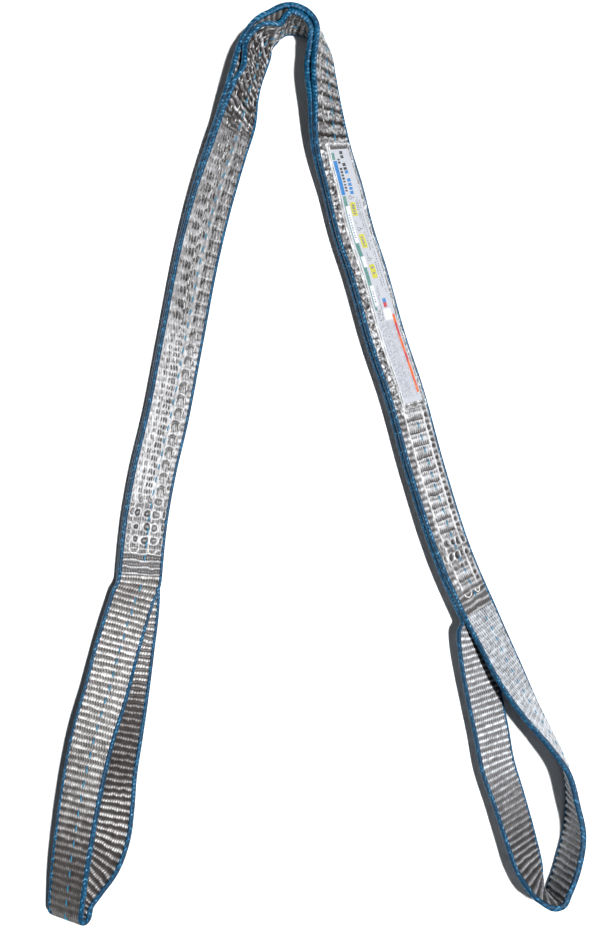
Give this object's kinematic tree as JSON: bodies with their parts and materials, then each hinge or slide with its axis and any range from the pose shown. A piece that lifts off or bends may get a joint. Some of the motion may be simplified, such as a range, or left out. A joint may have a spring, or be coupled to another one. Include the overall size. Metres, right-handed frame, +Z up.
{
  "type": "flat web sling",
  "caption": "Two-ply flat web sling with an eye at each end, sewn in long stitch rows, with coloured edges and a sleeved tag, lying folded at its middle.",
  "frame": {"origin": "middle of the bounding box, at floor level: the plane the sling lies on", "axes": "+Z up from the floor; +Y from the two eyes towards the crown where the sling is bent over; +X towards the leg that carries the tag"},
  "size_m": [0.3267, 0.5566, 0.0307],
  "materials": {
    "silver_webbing": "ribbed high-tenacity filament webbing with a silky sheen",
    "blue_edge_yarn": "twisted blue filament yarns woven along both edges",
    "teal_marker_yarn": "teal filament yarn floating over two ribs at a time",
    "sewing_thread": "shiny off-white filament sewing thread",
    "printed_tag": null,
    "clear_vinyl": "clear flexible vinyl with soft creases and glossy highlights"
  },
  "bodies": {
    "left_leg": {"left_leg_upper_ply": "silver_webbing", "left_leg_lower_ply": "silver_webbing", "left_leg_upper_edges": "blue_edge_yarn", "left_leg_lower_edges": "blue_edge_yarn", "left_leg_markers": "teal_marker_yarn", "left_leg_stitch_rows": "sewing_thread", "left_throat_stitching": "sewing_thread", "left_crown_outer_ply": "silver_webbing", "left_crown_inner_ply": "silver_webbing", "left_crown_edges": "blue_edge_yarn", "left_crown_stitch_rows": "sewing_thread"},
    "right_leg": {"right_leg_upper_ply": "silver_webbing", "right_leg_lower_ply": "silver_webbing", "right_leg_upper_edges": "blue_edge_yarn", "right_leg_lower_edges": "blue_edge_yarn", "right_leg_markers": "teal_marker_yarn", "right_leg_stitch_rows": "sewing_thread", "right_throat_stitching": "sewing_thread", "right_crown_outer_ply": "silver_webbing", "right_crown_inner_ply": "silver_webbing", "right_crown_edges": "blue_edge_yarn", "right_crown_stitch_rows": "sewing_thread", "label_tag": "printed_tag", "label_sleeve_back": "clear_vinyl", "label_sleeve_front": "clear_vinyl", "label_sleeve_hems": "clear_vinyl", "label_stitching": "sewing_thread"},
    "left_eye": {"left_eye_upper_ply": "silver_webbing", "left_eye_fold_ply": "silver_webbing", "left_eye_lower_ply": "silver_webbing", "left_eye_upper_edges": "blue_edge_yarn", "left_eye_fold_edges": "blue_edge_yarn", "left_eye_lower_edges": "blue_edge_yarn", "left_eye_marker": "teal_marker_yarn"},
    "right_eye": {"right_eye_upper_ply": "silver_webbing", "right_eye_turn_ply": "silver_webbing", "right_eye_lower_ply": "silver_webbing", "right_eye_upper_edges": "blue_edge_yarn", "right_eye_turn_edges": "blue_edge_yarn", "right_eye_lower_edges": "blue_edge_yarn", "right_eye_marker": "teal_marker_yarn"}
  },
  "joints": [
    {"name": "crown_spread", "type": "hinge", "parent": "left_leg", "child": "right_leg", "pos_m": [-0.0228, 0.2737, 0.014], "axis": [0, 0, 1], "range_deg": [-12, 30]},
    {"name": "left_eye_lift", "type": "hinge", "parent": "left_leg", "child": "left_eye", "pos_m": [-0.1118, -0.0713, 0.00628], "axis": [-0.982, 0.0744, 0.1736], "range_deg": [0, 60]},
    {"name": "right_eye_lift", "type": "hinge", "parent": "right_leg", "child": "right_eye", "pos_m": [0.0982, -0.0943, 0.00915], "axis": [-0.8273, -0.3876, 0.4067], "range_deg": [0, 60]}
  ]
}
